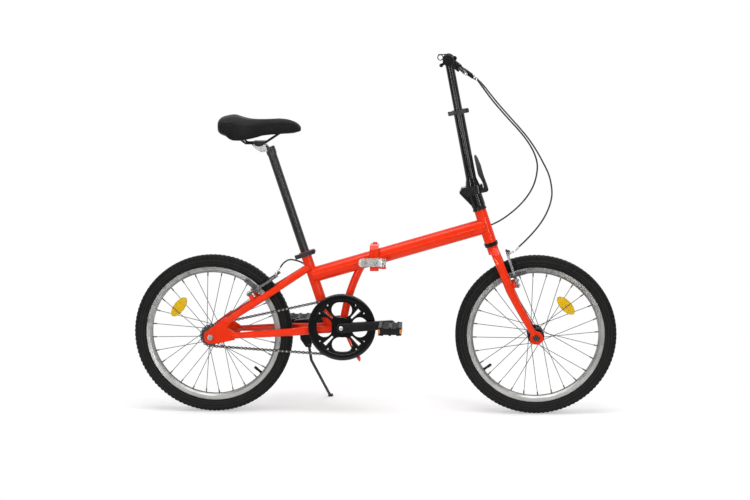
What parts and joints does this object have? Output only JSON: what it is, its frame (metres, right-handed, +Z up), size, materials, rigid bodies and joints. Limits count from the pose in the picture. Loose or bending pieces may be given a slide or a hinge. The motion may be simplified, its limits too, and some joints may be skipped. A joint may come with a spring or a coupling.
{
  "type": "folding bicycle",
  "caption": "Small-wheel folding bicycle with a hinged main tube, a folding stem, rim brakes, a chain drive with guard, a kickstand and a height-adjustable saddle.",
  "frame": {"origin": "on the ground, midway between the wheel axles in the centre plane", "axes": "+X forward, +Y to the rider's left, +Z up"},
  "size_m": [1.48, 0.58, 1.0973],
  "materials": {
    "frame_paint": "gloss red-orange paint",
    "black_paint": "gloss black paint",
    "dark_alloy": "dark anodised",
    "bright_alloy": "satin",
    "steel": "plated",
    "dark_steel": "oiled",
    "guard_plastic": "gloss black",
    "black_plastic": "matt black",
    "cord_jacket": "satin black",
    "grip_rubber": "matt",
    "tyre": "matt",
    "saddle_skin": "fine grain, imitation leather",
    "reflector": "amber prism"
  },
  "bodies": {
    "rear_frame": {"seat_tube": "frame_paint", "rear_main_tube": "frame_paint", "strut_tube": "frame_paint", "chainstays": "frame_paint", "seatstays": "frame_paint", "bottom_bracket_shell": "frame_paint", "seat_clamp": "dark_alloy", "frame_hinge_pin": "steel", "rear_axle": "steel", "bottom_bracket_cups": "dark_alloy", "rear_brake_cable_rear": "cord_jacket", "chain": "dark_steel"},
    "seat_lever": {"seat_clamp_lever": "dark_alloy"},
    "seat_post": {"seat_post": "dark_alloy", "saddle_clamp": "bright_alloy"},
    "saddle": {"saddle_rails": "dark_steel", "saddle_base": "black_plastic", "saddle_cover": "saddle_skin"},
    "front_frame": {"front_frame_tube": "frame_paint", "headset_cups": "dark_alloy", "rear_brake_cable_middle": "cord_jacket"},
    "frame_latch": {"frame_latch_lever": "bright_alloy"},
    "fork": {"fork_steerer": "steel", "fork_blades": "frame_paint", "front_axle": "steel", "stem_base": "black_paint"},
    "stem": {"stem_tube": "black_paint", "post_clamp": "dark_alloy"},
    "stem_latch": {"stem_latch_lever": "black_paint"},
    "post_lever": {"post_clamp_lever": "dark_alloy"},
    "bar": {"upper_post": "black_paint", "handlebar": "black_paint", "grips": "grip_rubber", "brake_perches": "black_paint", "front_brake_cable": "cord_jacket", "rear_brake_cable_front": "cord_jacket"},
    "right_brake_lever": {"right_brake_lever": "bright_alloy"},
    "left_brake_lever": {"left_brake_lever": "bright_alloy"},
    "front_right_brake_arm": {"front_right_brake_arm": "dark_alloy"},
    "front_left_brake_arm": {"front_left_brake_arm": "dark_alloy"},
    "rear_right_brake_arm": {"rear_right_brake_arm": "dark_alloy"},
    "rear_left_brake_arm": {"rear_left_brake_arm": "dark_alloy"},
    "front_wheel": {"front_tyre": "tyre", "front_rim": "bright_alloy", "front_spokes": "steel", "front_hub": "bright_alloy", "front_reflector": "reflector"},
    "rear_wheel": {"rear_tyre": "tyre", "rear_rim": "bright_alloy", "rear_spokes": "steel", "rear_hub": "bright_alloy", "rear_reflector": "reflector"},
    "sprocket": {"rear_sprocket": "dark_steel"},
    "crankset": {"chainring": "dark_steel", "chain_guard": "guard_plastic", "crank_arms": "black_paint", "crank_spindle": "steel"},
    "right_pedal": {"right_pedal": "black_plastic"},
    "left_pedal": {"left_pedal": "black_plastic"},
    "kickstand": {"kickstand": "black_paint"}
  },
  "joints": [
    {"name": "frame_fold", "type": "hinge", "parent": "rear_frame", "child": "front_frame", "pos_m": [0.004, 0.038, 0.482], "axis": [0, 0, 1], "range_deg": [0, 140], "deforming": ["rear_brake_cable_middle", "rear_brake_cable_rear"]},
    {"name": "frame_latch", "type": "hinge", "parent": "front_frame", "child": "frame_latch", "pos_m": [0.034, -0.038, 0.472], "axis": [0, 0, 1], "range_deg": [0, 150]},
    {"name": "steering", "type": "hinge", "parent": "front_frame", "child": "fork", "pos_m": [0.35653, 0, 0.52993], "axis": [-0.314, 0, 0.9494], "range_deg": [-60, 60], "deforming": ["rear_brake_cable_front", "rear_brake_cable_middle"]},
    {"name": "stem_fold", "type": "hinge", "parent": "fork", "child": "stem", "pos_m": [0.26941, 0, 0.68282], "axis": [0, -1, 0], "range_deg": [0, 100], "deforming": ["front_brake_cable", "rear_brake_cable_front", "rear_brake_cable_middle"]},
    {"name": "stem_latch", "type": "hinge", "parent": "fork", "child": "stem_latch", "pos_m": [0.34223, 0, 0.69073], "axis": [0, 1, 0], "range_deg": [0, 100]},
    {"name": "post_lever", "type": "hinge", "parent": "stem", "child": "post_lever", "pos_m": [0.2837, -0.015, 0.9259], "axis": [-0.1891, 0, 0.982], "range_deg": [0, 160]},
    {"name": "post_height", "type": "slide", "parent": "stem", "child": "bar", "axis": [-0.1891, 0, 0.982], "range_m": [-0.11, 0.05], "deforming": ["front_brake_cable", "rear_brake_cable_front", "rear_brake_cable_middle"]},
    {"name": "right_brake", "type": "hinge", "parent": "bar", "child": "right_brake_lever", "pos_m": [0.25708, -0.136, 1.05711], "axis": [-0.6157, 0, -0.788], "range_deg": [0, 13], "stiffness_Nm_per_rad": 0.8, "springref_deg": -8.59},
    {"name": "left_brake", "type": "hinge", "parent": "bar", "child": "left_brake_lever", "pos_m": [0.25708, 0.136, 1.05711], "axis": [0.6157, 0, 0.788], "range_deg": [0, 13], "stiffness_Nm_per_rad": 0.8, "springref_deg": -8.59},
    {"name": "front_right_arm", "type": "hinge", "parent": "fork", "child": "front_right_brake_arm", "pos_m": [0.44162, -0.04, 0.4064], "axis": [-0.9494, 0, -0.314], "range_deg": [0, 3], "deforming": ["front_brake_cable"]},
    {"name": "front_left_arm", "type": "hinge", "parent": "fork", "child": "front_left_brake_arm", "pos_m": [0.44162, 0.04, 0.4064], "axis": [0.9494, 0, 0.314], "range_deg": [0, 3]},
    {"name": "rear_right_arm", "type": "hinge", "parent": "rear_frame", "child": "rear_right_brake_arm", "pos_m": [-0.35194, -0.04, 0.33684], "axis": [-0.5402, 0, 0.8415], "range_deg": [0, 3], "deforming": ["rear_brake_cable_rear"]},
    {"name": "rear_left_arm", "type": "hinge", "parent": "rear_frame", "child": "rear_left_brake_arm", "pos_m": [-0.35194, 0.04, 0.33684], "axis": [0.5402, 0, -0.8415], "range_deg": [0, 3]},
    {"name": "front_wheel_spin", "type": "hinge", "parent": "fork", "child": "front_wheel", "pos_m": [0.495, 0, 0.245], "axis": [0, 1, 0], "continuous": true},
    {"name": "rear_wheel_spin", "type": "hinge", "parent": "rear_frame", "child": "rear_wheel", "pos_m": [-0.495, 0, 0.245], "axis": [0, 1, 0], "continuous": true},
    {"name": "crank_spin", "type": "hinge", "parent": "rear_frame", "child": "crankset", "pos_m": [-0.09371, 0, 0.275], "axis": [0, 1, 0], "continuous": true, "deforming": ["chain"]},
    {"name": "sprocket_spin", "type": "hinge", "parent": "rear_frame", "child": "sprocket", "pos_m": [-0.495, 0, 0.245], "axis": [0, 1, 0], "continuous": true, "deforming": ["chain"]},
    {"name": "right_pedal_spin", "type": "hinge", "parent": "crankset", "child": "right_pedal", "pos_m": [0.05759, -0.141, 0.28957], "axis": [0, 1, 0], "continuous": true},
    {"name": "left_pedal_spin", "type": "hinge", "parent": "crankset", "child": "left_pedal", "pos_m": [-0.24501, 0.141, 0.26043], "axis": [0, 1, 0], "continuous": true},
    {"name": "seat_height", "type": "slide", "parent": "rear_frame", "child": "seat_post", "axis": [-0.3057, 0, 0.9521], "range_m": [-0.28, 0.05]},
    {"name": "seat_lever", "type": "hinge", "parent": "rear_frame", "child": "seat_lever", "pos_m": [-0.18231, -0.015, 0.49862], "axis": [-0.3057, 0, 0.9521], "range_deg": [0, 160]},
    {"name": "saddle_tilt", "type": "hinge", "parent": "seat_post", "child": "saddle", "pos_m": [-0.34188, 0, 0.84041], "axis": [0, 1, 0], "range_deg": [-10, 10]},
    {"name": "kickstand_swing", "type": "hinge", "parent": "rear_frame", "child": "kickstand", "pos_m": [-0.20571, 0.046, 0.205], "axis": [-0.1663, 0.9785, 0.1223], "range_deg": [0, 100]}
  ],
  "couplings": [
    {"joint": "sprocket_spin", "follows": "crank_spin", "ratio": 2.75},
    {"joint": "rear_right_arm", "follows": "right_brake", "ratio": 0.23077},
    {"joint": "rear_left_arm", "follows": "right_brake", "ratio": 0.23077},
    {"joint": "front_right_arm", "follows": "left_brake", "ratio": 0.23077},
    {"joint": "front_left_arm", "follows": "left_brake", "ratio": 0.23077}
  ]
}
